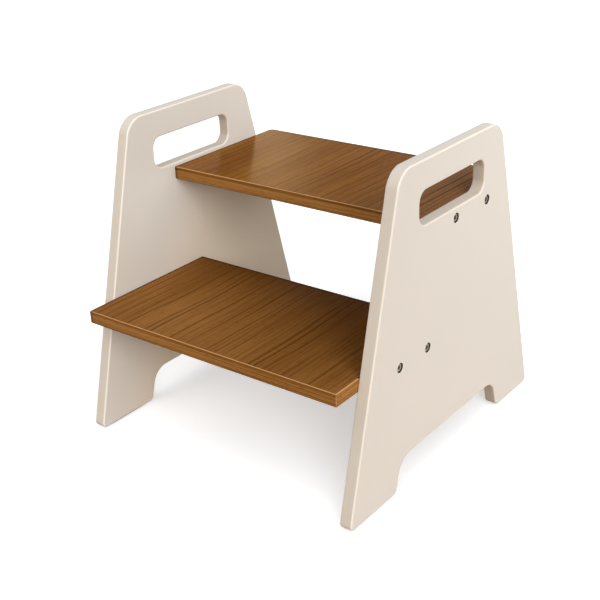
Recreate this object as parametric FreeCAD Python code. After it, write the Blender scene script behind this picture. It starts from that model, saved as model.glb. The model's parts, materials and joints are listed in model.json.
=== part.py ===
import FreeCAD, Part
import math
import os

# Childrens step stool: two painted side panels with two walnut treads bolted between them.
# Millimetres. X runs across the stool, Y from its front (-Y) to its back (+Y), and Z is up.
# The origin is on the floor, in the middle of the stool's footprint.

# The whole stool
stool_width = 376.0  # outer face to outer face of the side panels
stool_height = 360.0  # floor to the top of the side panels
foot_depth = 388.0  # front to back at the feet, measured to the corners before rounding
head_depth = 201.5  # front to back at the head, measured the same way

# Side panels, cut from one board each and painted
panel_thickness = 15.0
head_corner_radius = 25.0
foot_corner_radius = 6.0
panel_arris_radius = 2.0  # every edge of a panel is rounded over by this much

# Hand slot through the head of each panel
slot_length = 131.0
slot_height = 37.0
slot_drop = 32.0  # solid wood between the slot and the top of the panel
slot_corner_radius = 12.5

# Arch between the front foot and the back foot of each panel
front_foot_width = 86.0
back_foot_width = 78.0
arch_height = 38.0
arch_lean = 11.0  # how far each side of the arch closes in on its way up
arch_top_radius = 22.0
arch_foot_radius = 7.0

# Non-slip pads stuck under the feet
pad_thickness = 1.5
pad_width = 10.0
pad_end_margin = 13.0  # bare foot in front of a pad and behind it

# Treads, walnut faced boards with an edge band on all four edges
tread_thickness = 15.0
lower_tread_depth = 193.0
upper_tread_depth = 185.0
lower_tread_overhang = 38.5  # past the panels' front edges, measured at the tread's top face
upper_tread_overhang = 30.5  # past the panels' back edges, measured the same way
lower_tread_top = 158.0
upper_tread_top = 286.5
band_thickness = 2.0
tread_arris_radius = 1.2
upper_back_corner_radius = 6.0  # in plan, at the upper tread's two back corners

# Joint bolts: socket-head bolts with their heads sunk in the panels' outer faces.
# Insets are counted from the tread's inner edge, the one under or over the other tread.
lower_bolt_inset = 48.0
lower_bolt_spacing = 54.0
upper_bolt_inset = 41.5
upper_bolt_spacing = 66.0
bolt_diameter = 6.0
bolt_length = 40.0  # under the head
bolt_head_diameter = 10.0
bolt_head_height = 6.0
bolt_head_chamfer = 0.6
bolt_end_chamfer = 0.8
hex_socket_width = 5.0  # across the flats
hex_socket_depth = 3.0
head_recess = 1.5  # the head lies this far below the panel's face
counterbore_clearance = 0.5  # around the head
bolt_hole_clearance = 0.3  # around the shank in the wood
bolt_hole_spare_depth = 3.0  # past the bolt's end

# Barrel nuts, let into the treads from below
nut_diameter = 10.0
nut_length = 12.0
nut_inset = 25.0  # from the tread's end to the nut's axis
nut_chamfer = 0.5
nut_slot_width = 1.4  # screwdriver slot in the nut's lower end
nut_slot_depth = 1.5
nut_thread_clearance = 0.05
nut_hole_clearance = 0.1

# Wooden dowels, one between the two bolts of each tread end
dowel_diameter = 8.0
dowel_length = 30.0
dowel_chamfer = 1.0
dowel_depth_in_panel = 10.0
dowel_hole_clearance = 0.05
dowel_hole_spare_depth = 1.0

overrun = 5.0  # how far cutting shapes run past the faces they cut

panel_bottom = pad_thickness
panel_height = stool_height - panel_bottom
inner_width = stool_width - panel_thickness - panel_thickness
counterbore_diameter = bolt_head_diameter + 2 * counterbore_clearance
counterbore_depth = head_recess + bolt_head_height
bolt_hole_diameter = bolt_diameter + 2 * bolt_hole_clearance
bolt_reach_in_tread = counterbore_depth + bolt_length - panel_thickness
nut_hole_diameter = nut_diameter + 2 * nut_hole_clearance
dowel_hole_diameter = dowel_diameter + 2 * dowel_hole_clearance
sides = {"left": -1, "right": 1}

# Where each foot of a panel begins and ends, front to back
feet = {
    "front": (-foot_depth / 2, -foot_depth / 2 + front_foot_width),
    "back": (foot_depth / 2 - back_foot_width, foot_depth / 2),
}


def point(x, y, z):
    return FreeCAD.Vector(x, y, z)


def panel_half_depth(height):
    """Half the depth of the panels, front edge to back edge, at a height above the floor."""
    rise = (height - panel_bottom) / panel_height
    return (foot_depth + (head_depth - foot_depth) * rise) / 2


lower_tread_front = -panel_half_depth(lower_tread_top) - lower_tread_overhang
lower_tread_back = lower_tread_front + lower_tread_depth
lower_back_bolt = lower_tread_back - lower_bolt_inset
upper_tread_back = panel_half_depth(upper_tread_top) + upper_tread_overhang
upper_tread_front = upper_tread_back - upper_tread_depth
upper_front_bolt = upper_tread_front + upper_bolt_inset

# Each tread's top face, its front and back edges, the rounding of its two back corners in plan
# and its bolts' places from front to back
treads = {
    "lower": {
        "top": lower_tread_top,
        "front": lower_tread_front,
        "back": lower_tread_back,
        "back_corner_radius": 0,
        "bolts": {"front": lower_back_bolt - lower_bolt_spacing, "back": lower_back_bolt},
    },
    "upper": {
        "top": upper_tread_top,
        "front": upper_tread_front,
        "back": upper_tread_back,
        "back_corner_radius": upper_back_corner_radius,
        "bolts": {"front": upper_front_bolt, "back": upper_front_bolt + upper_bolt_spacing},
    },
}


def tread_middle(tread):
    """Height of the middle of a tread's thickness, where its bolts and dowels run."""
    return tread["top"] - tread_thickness / 2


def dowel_place(tread):
    """Where a tread's dowels lie between its front and back bolts."""
    return (tread["bolts"]["front"] + tread["bolts"]["back"]) / 2


def rounded_outline(corners):
    """A closed wire through (corner, radius) pairs, each corner rounded to its radius."""
    arcs = []
    for number, (corner, radius) in enumerate(corners):
        last_corner = corners[number - 1][0]
        next_corner = corners[(number + 1) % len(corners)][0]
        to_last = (last_corner - corner).normalize()
        to_next = (next_corner - corner).normalize()
        half_angle = to_last.getAngle(to_next) / 2
        reach = radius / math.tan(half_angle)
        to_middle = (to_last + to_next).normalize() * (radius / math.sin(half_angle) - radius)
        arcs.append((corner + to_last * reach, corner + to_middle, corner + to_next * reach))
    edges = []
    for number, (start, middle, end) in enumerate(arcs):
        next_start = arcs[(number + 1) % len(arcs)][0]
        edges.append(Part.Arc(start, middle, end).toShape())
        edges.append(Part.LineSegment(end, next_start).toShape())
    return Part.Wire(edges)


def prism(corners, direction):
    """A solid with a rounded outline, drawn out along a direction."""
    return Part.Face(rounded_outline(corners)).extrude(direction)


def rod(diameter, start, direction, length):
    return Part.makeCylinder(diameter / 2, length, start, direction)


def panel_corners(x):
    """The panel's outline, feet and arch, in the plane at x, going round from the front foot."""
    panel_front, arch_front = feet["front"]
    arch_back, panel_back = feet["back"]
    arch_top = panel_bottom + arch_height
    return [
        (point(x, panel_front, panel_bottom), foot_corner_radius),
        (point(x, -head_depth / 2, stool_height), head_corner_radius),
        (point(x, head_depth / 2, stool_height), head_corner_radius),
        (point(x, panel_back, panel_bottom), foot_corner_radius),
        (point(x, arch_back, panel_bottom), arch_foot_radius),
        (point(x, arch_back - arch_lean, arch_top), arch_top_radius),
        (point(x, arch_front + arch_lean, arch_top), arch_top_radius),
        (point(x, arch_front, panel_bottom), arch_foot_radius),
    ]


def slot_corners(x):
    """The hand slot's outline in the plane at x."""
    top = stool_height - slot_drop
    bottom = top - slot_height
    half_length = slot_length / 2
    return [
        (point(x, -half_length, bottom), slot_corner_radius),
        (point(x, -half_length, top), slot_corner_radius),
        (point(x, half_length, top), slot_corner_radius),
        (point(x, half_length, bottom), slot_corner_radius),
    ]


def with_rounded_arrises(panel):
    """The panel with every edge of its two faces rounded over."""
    face_edges = [edge for edge in panel.Edges if edge.BoundBox.XLength < panel_thickness / 2]
    return panel.makeFillet(panel_arris_radius, face_edges)


def panel_drilling(side, tread):
    """What one tread's joint takes out of a panel: counterbores, bolt holes and a dowel hole."""
    outer_face = side * stool_width / 2
    inner_face = side * inner_width / 2
    height = tread_middle(tread)
    inwards = point(-side, 0, 0)
    outwards = point(side, 0, 0)
    cuts = []
    for place in tread["bolts"].values():
        start = point(outer_face + side * overrun, place, height)
        cuts.append(rod(counterbore_diameter, start, inwards, overrun + counterbore_depth))
        cuts.append(rod(bolt_hole_diameter, start, inwards, panel_thickness + 2 * overrun))
    dowel_start = point(inner_face - side * overrun, dowel_place(tread), height)
    dowel_hole_depth = overrun + dowel_depth_in_panel + dowel_hole_spare_depth
    cuts.append(rod(dowel_hole_diameter, dowel_start, outwards, dowel_hole_depth))
    return cuts


def side_panel(side):
    outer_face = side * stool_width / 2
    cut_length = panel_thickness + 2 * overrun
    slot = prism(slot_corners(outer_face + side * overrun), point(-side * cut_length, 0, 0))
    panel = prism(panel_corners(outer_face), point(-side * panel_thickness, 0, 0)).cut(slot)
    panel = with_rounded_arrises(panel)
    for tread in treads.values():
        panel = panel.cut(panel_drilling(side, tread))
    return panel


def foot_pad(side, foot):
    """A round-ended strip under one foot, along the middle of the panel's thickness."""
    foot_front, foot_back = feet[foot]
    middle_x = side * (stool_width - panel_thickness) / 2
    radius = pad_width / 2
    first_end = point(middle_x, foot_front + pad_end_margin + radius, 0)
    last_end = point(middle_x, foot_back - pad_end_margin - radius, 0)
    corner = first_end - point(radius, 0, 0)
    straight = Part.makeBox(pad_width, last_end.y - first_end.y, pad_thickness, corner)
    ends = [rod(pad_width, end, point(0, 0, 1), pad_thickness) for end in (first_end, last_end)]
    return straight.fuse(ends).removeSplitter()


def upright_back_edges(block, tread):
    """The upright edges of a tread's block that lie in its back half."""
    middle = (tread["front"] + tread["back"]) / 2
    upright = [edge for edge in block.Edges if edge.BoundBox.ZLength > tread_thickness / 2]
    return [edge for edge in upright if edge.BoundBox.YMin > middle]


def whole_tread(tread):
    """The edged board as one block with its arrises rounded, before holes and split into pieces."""
    corner = point(-inner_width / 2, tread["front"], tread["top"] - tread_thickness)
    depth = tread["back"] - tread["front"]
    block = Part.makeBox(inner_width, depth, tread_thickness, corner)
    arrises = block.Edges
    radius = tread["back_corner_radius"]
    if radius > 0:
        block = block.makeFillet(radius, upright_back_edges(block, tread))
        rounded = upright_back_edges(block, tread)
        arrises = [edge for edge in block.Edges if not any(edge.isSame(seam) for seam in rounded)]
    return block.makeFillet(tread_arris_radius, arrises)


def tread_drilling(tread):
    """Bolt, dowel and barrel nut holes in both ends of a tread."""
    height = tread_middle(tread)
    nut_top = height + nut_length / 2
    nut_hole_start = tread["top"] - tread_thickness - overrun
    bolt_hole_depth = overrun + bolt_reach_in_tread + bolt_hole_spare_depth
    dowel_hole_depth = overrun + dowel_length - dowel_depth_in_panel + dowel_hole_spare_depth
    up = point(0, 0, 1)
    cuts = []
    for side in sides.values():
        inwards = point(-side, 0, 0)
        end_face = side * inner_width / 2
        nut_x = end_face - side * nut_inset
        start_x = end_face + side * overrun
        for place in tread["bolts"].values():
            bolt_start = point(start_x, place, height)
            nut_start = point(nut_x, place, nut_hole_start)
            cuts.append(rod(bolt_hole_diameter, bolt_start, inwards, bolt_hole_depth))
            cuts.append(rod(nut_hole_diameter, nut_start, up, nut_top - nut_hole_start))
        dowel_start = point(start_x, dowel_place(tread), height)
        cuts.append(rod(dowel_hole_diameter, dowel_start, inwards, dowel_hole_depth))
    return cuts


def part_of_tread(tread, left, right, front, back):
    """The piece of a tread between four upright planes, with its holes."""
    corner = point(left, front, tread["top"] - tread_thickness - overrun)
    block = Part.makeBox(right - left, back - front, tread_thickness + 2 * overrun, corner)
    return whole_tread(tread).common(block).cut(tread_drilling(tread))


def tread_board(tread):
    """The board inside the edge bands."""
    right = inner_width / 2 - band_thickness
    front = tread["front"] + band_thickness
    back = tread["back"] - band_thickness
    return part_of_tread(tread, -right, right, front, back)


def long_band(tread, edge):
    """The band along a tread's front or back edge, which covers the ends of the short bands."""
    band_fronts = {"front": tread["front"], "back": tread["back"] - band_thickness}
    front = band_fronts[edge]
    return part_of_tread(tread, -inner_width / 2, inner_width / 2, front, front + band_thickness)


def short_band(tread, side):
    """The band along a tread's left or right end, between the long bands."""
    middle = side * (inner_width - band_thickness) / 2
    left = middle - band_thickness / 2
    front = tread["front"] + band_thickness
    back = tread["back"] - band_thickness
    return part_of_tread(tread, left, left + band_thickness, front, back)


def joint_bolt(side, tread, place):
    """A socket-head bolt, its head towards the outside."""
    height = tread_middle(tread)
    inwards = point(-side, 0, 0)
    outwards = point(side, 0, 0)
    head_face = point(side * (stool_width / 2 - head_recess), place, height)
    under_head = head_face + inwards * bolt_head_height
    tip = under_head + inwards * bolt_length
    head_end = head_face + inwards * bolt_head_chamfer
    shank_end = tip + outwards * bolt_end_chamfer
    head_radius = bolt_head_diameter / 2
    shank_radius = bolt_diameter / 2
    head = rod(bolt_head_diameter, under_head, outwards, bolt_head_height - bolt_head_chamfer)
    head_bevel = Part.makeCone(
        head_radius, head_radius - bolt_head_chamfer, bolt_head_chamfer, head_end, outwards
    )
    shank = rod(bolt_diameter, under_head, inwards, bolt_length - bolt_end_chamfer)
    shank_bevel = Part.makeCone(
        shank_radius, shank_radius - bolt_end_chamfer, bolt_end_chamfer, shank_end, inwards
    )
    bolt = head.fuse([head_bevel, shank, shank_bevel]).removeSplitter()
    return bolt.cut(hex_socket(head_face, inwards))


def hex_socket(centre, inwards):
    """The six-sided socket in a bolt's head, with two of its corners up and down."""
    corner_radius = hex_socket_width / math.sqrt(3)
    corners = []
    for number in range(6):
        angle = math.tau * number / 6
        offset = point(0, corner_radius * math.sin(angle), corner_radius * math.cos(angle))
        corners.append(centre - inwards * overrun + offset)
    outline = Part.makePolygon(corners + corners[:1])
    return Part.Face(outline).extrude(inwards * (overrun + hex_socket_depth))


def barrel_nut(side, tread, place):
    """An upright barrel nut round a bolt, slotted at its lower end."""
    middle = point(side * (inner_width / 2 - nut_inset), place, tread_middle(tread))
    up = point(0, 0, 1)
    base = middle - up * (nut_length / 2)
    barrel = rod(nut_diameter, base, up, nut_length)
    rims = [edge for edge in barrel.Edges if edge.BoundBox.ZLength < nut_length / 2]
    barrel = barrel.makeChamfer(nut_chamfer, rims)
    thread_diameter = bolt_diameter + 2 * nut_thread_clearance
    thread_start = middle - point(nut_diameter, 0, 0)
    thread = rod(thread_diameter, thread_start, point(1, 0, 0), 2 * nut_diameter)
    slot_corner = base - point(nut_diameter, nut_slot_width / 2, overrun)
    slot = Part.makeBox(2 * nut_diameter, nut_slot_width, overrun + nut_slot_depth, slot_corner)
    return barrel.cut([thread, slot])


def dowel(side, tread):
    """A dowel across the seam between a panel and a tread's end."""
    outer_end = side * (inner_width / 2 + dowel_depth_in_panel)
    start = point(outer_end, dowel_place(tread), tread_middle(tread))
    pin = rod(dowel_diameter, start, point(-side, 0, 0), dowel_length)
    rims = [edge for edge in pin.Edges if edge.BoundBox.XLength < dowel_length / 2]
    return pin.makeChamfer(dowel_chamfer, rims)


def build():
    """Every piece of the stool by its name."""
    pieces = {}
    for side_name, side in sides.items():
        pieces[f"{side_name}_side_panel"] = side_panel(side)
        for foot in ("front", "back"):
            pieces[f"{side_name}_{foot}_foot_pad"] = foot_pad(side, foot)
    for name, tread in treads.items():
        pieces[f"{name}_tread_board"] = tread_board(tread)
        for edge in ("front", "back"):
            pieces[f"{name}_tread_{edge}_band"] = long_band(tread, edge)
        for side_name, side in sides.items():
            pieces[f"{name}_tread_{side_name}_band"] = short_band(tread, side)
            pieces[f"{name}_{side_name}_dowel"] = dowel(side, tread)
            for bolt_name, place in tread["bolts"].items():
                joint = f"{name}_{side_name}_{bolt_name}"
                pieces[f"{joint}_bolt"] = joint_bolt(side, tread, place)
                pieces[f"{joint}_barrel_nut"] = barrel_nut(side, tread, place)
    return pieces


def main():
    os.makedirs("parts", exist_ok=True)
    for name, shape in build().items():
        if not shape.isValid() or len(shape.Solids) != 1:
            raise ValueError(f"{name} is not one sound solid")
        shape.Solids[0].exportStep(f"parts/{name}.step")
        print(f"{name}: {shape.Volume / 1000:.1f} cubic centimetres")


main()
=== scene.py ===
"""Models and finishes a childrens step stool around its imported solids, on a white floor.

Metres. X runs across the stool, Y from its front (-Y) to its back (+Y), and Z is up.
"""

import json
import math
from contextlib import contextmanager
from functools import partial

import bmesh
import bpy
from bpy.props import FloatProperty, FloatVectorProperty, PointerProperty
from mathutils import Matrix, Vector

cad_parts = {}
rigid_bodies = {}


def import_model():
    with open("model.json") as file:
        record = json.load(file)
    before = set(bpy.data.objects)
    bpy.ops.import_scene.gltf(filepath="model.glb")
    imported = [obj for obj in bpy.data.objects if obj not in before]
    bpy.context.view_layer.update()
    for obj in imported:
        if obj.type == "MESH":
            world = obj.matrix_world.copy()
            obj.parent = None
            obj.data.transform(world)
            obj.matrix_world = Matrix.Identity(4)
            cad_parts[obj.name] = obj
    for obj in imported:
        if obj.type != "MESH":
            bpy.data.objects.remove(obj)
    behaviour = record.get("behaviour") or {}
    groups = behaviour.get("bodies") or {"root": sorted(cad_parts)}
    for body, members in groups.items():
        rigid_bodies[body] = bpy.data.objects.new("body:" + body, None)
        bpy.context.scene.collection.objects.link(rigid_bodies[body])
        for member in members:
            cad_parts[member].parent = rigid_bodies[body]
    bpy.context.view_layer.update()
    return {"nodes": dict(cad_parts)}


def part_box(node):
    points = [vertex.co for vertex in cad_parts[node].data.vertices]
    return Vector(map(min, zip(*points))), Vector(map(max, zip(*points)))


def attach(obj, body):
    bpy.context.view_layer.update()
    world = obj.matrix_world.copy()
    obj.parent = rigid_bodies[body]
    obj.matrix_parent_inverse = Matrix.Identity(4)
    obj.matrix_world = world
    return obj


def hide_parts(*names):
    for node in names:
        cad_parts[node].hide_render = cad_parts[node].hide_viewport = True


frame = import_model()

bl_info = {
    "name": "Childrens step stool",
    "version": (1, 0, 0),
    "blender": (4, 5, 0),
    "location": "View3D > Sidebar > Step stool",
    "description": "Models the stool's painted panels, walnut treads and bolts, and sets its stage",
    "category": "Object",
}

MM = 0.001
TINY = 0.01 * MM
FLAT = 0.999  # the least part along an axis of a normal or a run that counts as along it
LEAN = 0.1  # the least part along an axis of a normal that counts as turned that way
UPWARD = 0.7  # the least upward part of a normal in the upper half of a rounding
UNDERSIDE = -0.5  # the greatest upward part of a normal that counts as underneath
SHARP = math.radians(45)
VENEER_LINES = 12  # millimetres between the year lines of the treads' veneer
EDGING_LINES = 4  # millimetres between the year lines of the edge bands
X, Y, Z = range(3)
SIDES = {"left": -1, "right": 1}
ENDS = ("front", "back")
TREADS = ("lower", "upper")


def linear(hex_colour):
    """An sRGB hex colour as the linear red, green and blue that the shaders use."""
    channels = [int(hex_colour[start : start + 2], 16) / 255 for start in (1, 3, 5)]
    return tuple(c / 12.92 if c <= 0.04045 else ((c + 0.055) / 1.055) ** 2.4 for c in channels)


def length(name, description, millimetres):
    """A property that holds a length."""
    return FloatProperty(
        name=name, description=description, default=millimetres * MM, min=0, unit="LENGTH"
    )


def angle(name, description, degrees):
    """A property that holds an angle."""
    return FloatProperty(
        name=name, description=description, default=math.radians(degrees), subtype="ANGLE"
    )


def level(name, description, strength, **limits):
    """A property that holds a strength of light."""
    return FloatProperty(name=name, description=description, default=strength, min=0, **limits)


def colour(name, description, hex_colour):
    """A property that holds a colour."""
    return FloatVectorProperty(
        name=name, description=description, default=linear(hex_colour), min=0, max=1,
        subtype="COLOR",
    )


class StoolSizes(bpy.types.PropertyGroup):
    """Sizes of the stool's pieces that their boxes alone don't give."""

    foot_depth: length("Foot depth", "Front to back at the feet, before rounding", 388)
    head_depth: length("Head depth", "Front to back at the head, before rounding", 201.5)
    head_corner_radius: length("Head corners", "Radius of a panel's upper corners", 25)
    foot_corner_radius: length("Foot corners", "Radius of a panel's lower corners", 6)
    panel_arris_radius: length("Panel arrises", "Rounding of every edge of a panel", 2)
    slot_length: length("Slot length", "Length of the hand slot", 131)
    slot_height: length("Slot height", "Height of the hand slot", 37)
    slot_drop: length("Slot drop", "Wood between the slot and the top of the panel", 32)
    slot_corner_radius: length("Slot corners", "Radius of the hand slot's corners", 12.5)
    front_foot_width: length("Front foot", "Width of a panel's front foot at the floor", 86)
    back_foot_width: length("Back foot", "Width of a panel's back foot at the floor", 78)
    arch_height: length("Arch height", "Height of the arch between the feet", 38)
    arch_lean: length("Arch lean", "How far each side of the arch closes in on its way up", 11)
    arch_top_radius: length("Arch top corners", "Radius of the arch's upper corners", 22)
    arch_foot_radius: length("Arch foot corners", "Radius where the arch meets the floor", 7)
    tread_arris_radius: length("Tread arrises", "Rounding of the treads' outer edges", 1.2)
    upper_corner_radius: length("Upper tread corners", "Radius of its back corners in plan", 6)
    # Width of the painted shade at the left end of a tread's front
    painted_shade_width: length("Stain width", "Dark stain at the left end of a tread's front", 4)
    joint_easing: length("Joint easing", "Sanded hollow between a board and its edge band", 0.12)
    hole_easing: length("Hole easing", "Rounding of the mouth of a bolt's hole", 0.4)
    head_diameter: length("Bolt head", "Diameter of a bolt's head", 10)
    head_height: length("Bolt head height", "Height of a bolt's head", 6)
    head_easing: length("Head easing", "Rounding of the rim of a bolt's head", 1.1)
    shank_diameter: length("Bolt shank", "Diameter of a bolt's shank", 6)
    shank_end_easing: length("Shank end", "Chamfer at the end of a bolt's shank", 0.8)
    hex_width: length("Hex socket", "Width of the six-sided socket across its flats", 5)
    hex_depth: length("Hex depth", "Depth of the six-sided socket", 3)
    hex_easing: length("Hex easing", "Chamfer round the mouth of the socket", 0.3)
    counterbore_diameter: length("Counterbore", "Diameter of the hole round a bolt's head", 11)
    bolt_hole_diameter: length("Bolt hole", "Diameter of the hole for a shank", 6.6)
    nut_hole_diameter: length("Nut hole", "Diameter of the hole for a barrel nut", 10.2)
    dowel_hole_diameter: length("Dowel hole", "Diameter of the hole for a dowel", 8.1)
    hole_spare: length("Spare depth", "How far a hole runs past the end of what it holds", 1)
    pad_easing: length("Pad easing", "Rounding of a foot pad's lower rim", 0.4)
    overrun: length("Overrun", "How far cutting shapes run past the faces they cut", 5)


class StoolFinishes(bpy.types.PropertyGroup):
    """Colours of the stool's paint, wood, metal and rubber."""

    paint: colour("Paint", "Cream paint on the panels' faces", "#DFD9D0")
    paint_edge: colour("Painted edge", "Paint that sank into the routed edges", "#DCD2C4")
    # A painted highlight along the panels' arrises
    paint_arris_highlight: colour("Painted arris", "Paint polished pale on the arrises", "#F6ECDF")
    # Painted warm shade on the inner faces below the upper tread
    paint_shade_tint: colour("Sheltered paint", "Paint yellowed on the inner faces", "#E6D8C4")
    # Painted shade on the walls of the slots and arches
    paint_cut_out_shade: colour("Cut-out paint", "Duller paint in the slots and arches", "#CABEAF")
    # Bare board in the bolt holes, darkened as painted shade, and a painted contact shadow under
    # the feet
    bare_board_and_shade: colour("Bored holes", "Bare fibre board inside the bolt holes", "#4A3F34")
    walnut: colour("Walnut", "The veneer between its streaks", "#82501A")
    # Painted light: the lower tread's veneer is a lighter copy of the walnut
    walnut_light: colour("Light walnut", "The palest bands of the veneer", "#936024")
    walnut_lower_lit: colour("Faded walnut", "The lower tread's veneer in the daylight", "#895A29")
    walnut_lower_lit_pale: colour("Faded light walnut", "Its palest bands", "#9A6936")
    # Painted shadow of the upper tread on the lower tread's back
    walnut_painted_shadow: colour("Deep walnut", "Veneer that the upper tread shelters", "#5A3509")
    # Painted sheen on the upper tread's back right
    walnut_painted_sheen: colour("Greyed walnut", "Veneer at the upper tread's back right", "#8A6240")
    edging: colour("Edging", "The edge bands between their streaks", "#996731")
    edging_light: colour("Light edging", "The palest streaks of the edge bands", "#B07D45")
    walnut_dark: colour("Dark walnut", "The dark streaks of the wood", "#4C2808")
    # A painted highlight on the treads' upper arrises
    walnut_arris_highlight: colour("Walnut arris", "Wood sanded pale on the upper arrises", "#D9AE80")
    # Painted shade under the treads' arrises, along the panels, at the back and beside the edge
    # bands
    walnut_painted_shade: colour("Stained walnut", "Stain below and where wood meets paint", "#2A1404")
    zinc: colour("Zinc", "Zinc plate on bolts and nuts", "#ACA69C")
    # Painted shade down the sides of a bolt's head, in its counterbore
    head_side_shade: colour("Tarnish", "Dulled plate down the sides of a bolt's head", "#2E2822")
    beech: colour("Beech", "Bare wood of the dowels", "#CDA677")
    rubber: colour("Rubber", "Foot pads", "#2A2826")


class StoolStage(bpy.types.PropertyGroup):
    """The camera, lamps and floor."""

    lens: FloatProperty(name="Lens", description="For a 36 mm sensor", default=65.538, min=1)
    camera_place: FloatVectorProperty(
        name="Camera", description="Where the camera stands",
        default=(0.715523, -0.931221, 0.683784), unit="LENGTH",
    )
    camera_turn: angle("Camera turn", "How far round from the front, to the right", 38.2173)
    camera_tilt: angle("Camera tilt", "How far the camera looks down", 24.8087)
    camera_roll: angle("Camera roll", "How far the camera leans to one side", -2.3037)
    key_level: level("Key lamp", "Light from the right", 0.43)
    front_level: level("Front lamp", "Light from the front", 0.6)
    back_level: level("Back lamp", "Light from behind on the left", 0.22)
    right_level: level("Right box", "A soft box close to the right panel's head", 0.2)
    left_level: level("Left box", "A soft box close to the left panel's head", 0.108)
    rim_level: level("Rim strip", "Light that glances off the upper tread", 0.06)
    rim_colour: colour("Rim colour", "Warm colour of the rim strip", "#FFE1AE")
    sky_level: level("Sky", "Light from all round", 0.03)
    floor_key_level: level("Floor lamp", "Light on the floor alone, from in front", 0.368)
    floor_fill_level: level("Floor fill", "Soft light on the floor alone, from above", 0.97)
    floor_lift: level("Floor lift", "White that the floor shows by itself", 0.438, max=1)
    floor_shown: colour("Floor", "The floor as it is seen", "#F3F4F4")
    floor_glow: colour("Floor glow", "The floor as it lights the stool", "#B8A188")
    floor_width: length("Floor width", "Size of the floor", 14000)


# Modelling


def make_active(piece):
    """Selects one piece alone."""
    bpy.ops.object.select_all(action="DESELECT")
    piece.select_set(True)
    bpy.context.view_layer.objects.active = piece


def named(name):
    """Names the piece that was just added, with its place and size in its mesh."""
    bpy.ops.object.transform_apply(location=True, rotation=True, scale=True)
    piece = bpy.context.object
    piece.name = piece.data.name = name
    return piece


def add_block(name, low, high):
    """A box between two corners."""
    bpy.ops.object.select_all(action="DESELECT")
    bpy.ops.mesh.primitive_cube_add(size=1, location=(low + high) / 2)
    bpy.context.object.scale = high - low
    return named(name)


def add_rod(name, start, end, diameter, sides):
    """A cylinder from one point to another."""
    bpy.ops.object.select_all(action="DESELECT")
    axis = end - start
    bpy.ops.mesh.primitive_cylinder_add(
        vertices=sides, radius=diameter / 2, depth=axis.length, location=(start + end) / 2,
        rotation=axis.to_track_quat("Z", "Y").to_euler(),
    )
    return named(name)


def add_rod_across(name, start, end, centre, diameter, sides):
    """A cylinder that runs across the stool, from one X to another, in line with a centre."""
    ends = (Vector((x, centre.y, centre.z)) for x in (start, end))
    return add_rod(name, *ends, diameter, sides)


def copy_of(piece, name):
    """A copy with its own mesh."""
    twin = piece.copy()
    twin.data = piece.data.copy()
    twin.name = twin.data.name = name
    bpy.context.scene.collection.objects.link(twin)
    return twin


def select_parts(piece, kind, chosen):
    """Opens a piece in edit mode with only the chosen edges or faces selected."""
    make_active(piece)
    bpy.ops.object.mode_set(mode="EDIT")
    bpy.ops.mesh.select_mode(type=kind)
    bpy.ops.mesh.select_all(action="DESELECT")
    mesh = bmesh.from_edit_mesh(piece.data)
    parts = [part for part in {"EDGE": mesh.edges, "FACE": mesh.faces}[kind] if chosen(part)]
    if not parts:
        raise ValueError(f"nothing to work on in {piece.name}")
    for part in parts:
        part.select_set(True)
    bmesh.update_edit_mesh(piece.data)


@contextmanager
def editing(piece, kind, chosen):
    """Edit mode with the chosen edges or faces of a piece selected, and object mode after it."""
    select_parts(piece, kind, chosen)
    yield
    bpy.ops.object.mode_set(mode="OBJECT")


def round_edges(piece, chosen, reach, segments):
    """Rounds the chosen edges. Reach is from the old edge to where the rounding begins."""
    with editing(piece, "EDGE", chosen):
        bpy.ops.mesh.bevel(
            offset_type="OFFSET", offset=reach, segments=segments, profile=0.5,
            affect="EDGES", clamp_overlap=False,
        )


def split(piece, place, way, **settings):
    """Splits a piece's faces along a plane through a place."""
    with editing(piece, "FACE", lambda face: True):
        bpy.ops.mesh.bisect(plane_co=place, plane_no=way, **settings)


def cut_away(piece, *cutters):
    """Takes the cutters' shapes out of a piece and throws the cutters away."""
    for cutter in cutters:
        make_active(piece)
        bpy.ops.object.modifier_add(type="BOOLEAN")
        cut = piece.modifiers[-1]
        cut.operation = "DIFFERENCE"
        cut.solver = "EXACT"
        cut.object = cutter
        bpy.ops.object.modifier_apply(modifier=cut.name)
        bpy.data.objects.remove(cutter)


def near(value, target):
    return abs(value - target) < TINY


def middle(edge):
    return (edge.verts[0].co + edge.verts[1].co) / 2


def lies_at(edge, axis, place):
    """Whether both ends of an edge are at a place on an axis."""
    return all(near(vertex.co[axis], place) for vertex in edge.verts)


def runs_along(edge, axis):
    """Whether an edge lies along an axis."""
    run = edge.verts[1].co - edge.verts[0].co
    return abs(run[axis]) > FLAT * run.length


def facing(axis, sign):
    """Picks the flat faces that look up or down an axis."""
    return lambda face: sign * face.normal[axis] > FLAT


def from_axis(spot, centre):
    """How far a spot is from the line across the stool through a centre."""
    return math.hypot(spot.y - centre.y, spot.z - centre.z)


def corner_reach(radius, corner):
    """How far from a corner, as wide as an angle, its rounding begins."""
    return radius / math.tan(corner / 2)


def smooth(piece, steepest=40):
    """Shades a piece smooth up to an angle in degrees, with its large flat faces truly flat."""
    make_active(piece)
    bpy.ops.object.shade_smooth_by_angle(angle=math.radians(steepest))
    bpy.ops.object.modifier_add(type="WEIGHTED_NORMAL")
    weighting = piece.modifiers[-1]
    weighting.keep_sharp = True
    bpy.ops.object.modifier_apply(modifier=weighting.name)


def mark_faces(piece, name, value_of):
    """Stores a number at each corner of each face, for a material. value_of gets both."""
    mesh = piece.data
    values = []
    for face in mesh.polygons:
        for number in face.vertices:
            values.append(float(value_of(face, mesh.vertices[number].co)))
    mesh.attributes.new(name, "FLOAT", "CORNER").data.foreach_set("value", values)


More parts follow.
